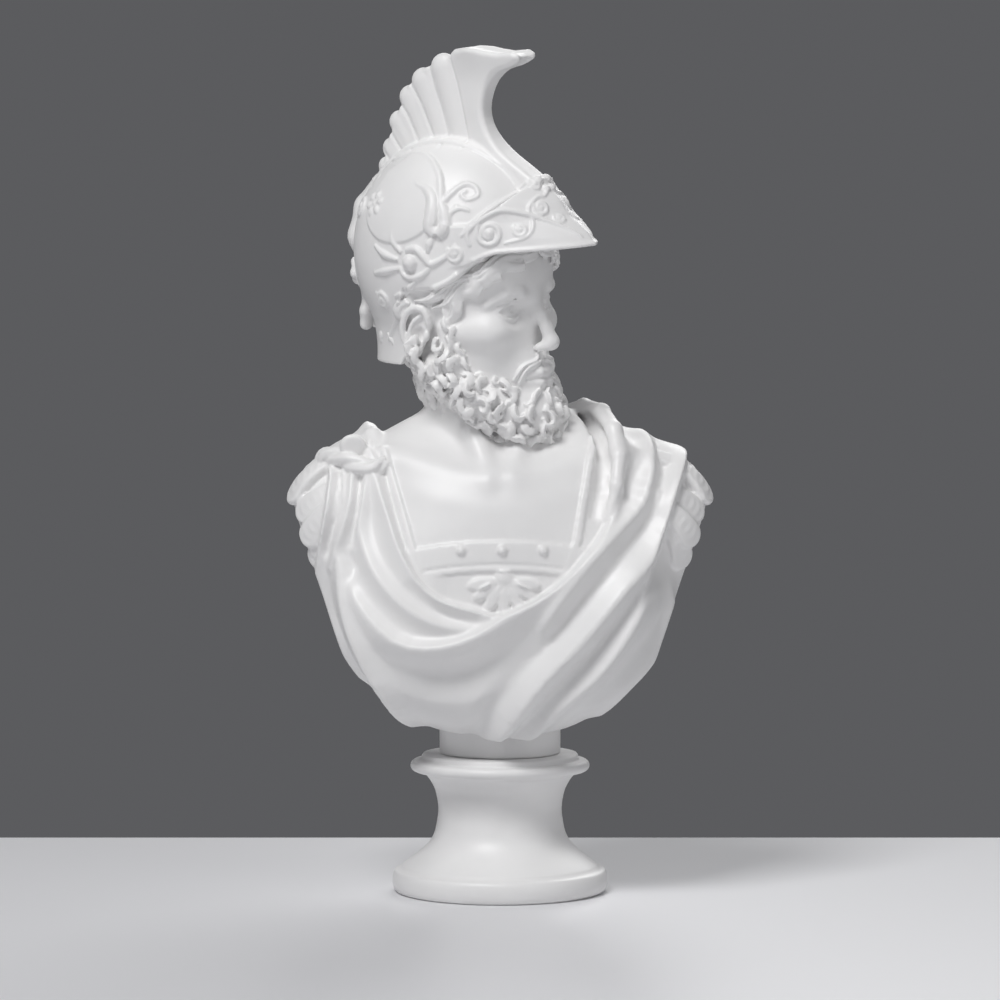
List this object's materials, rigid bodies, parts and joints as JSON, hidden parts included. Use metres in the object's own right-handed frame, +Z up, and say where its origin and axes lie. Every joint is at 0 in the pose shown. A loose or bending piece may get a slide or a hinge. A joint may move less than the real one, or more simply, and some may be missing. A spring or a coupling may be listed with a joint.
{
  "type": "portrait bust",
  "caption": "White cast bust of a bearded warrior in a crested helmet and draped cloak, on a turned round socle.",
  "frame": {"origin": "centre of the socle's round underside", "axes": "+Z up; the chest faces -Y; +X is the figure's left, the way the head turns"},
  "size_m": [0.3004, 0.1875, 0.6],
  "materials": {
    "bust_marble": "matte white cast marble, faint satin sheen",
    "socle_marble": "matte white cast marble, faint satin sheen"
  },
  "bodies": {
    "root": {"bust": "bust_marble", "socle": "socle_marble"}
  },
  "joints": []
}
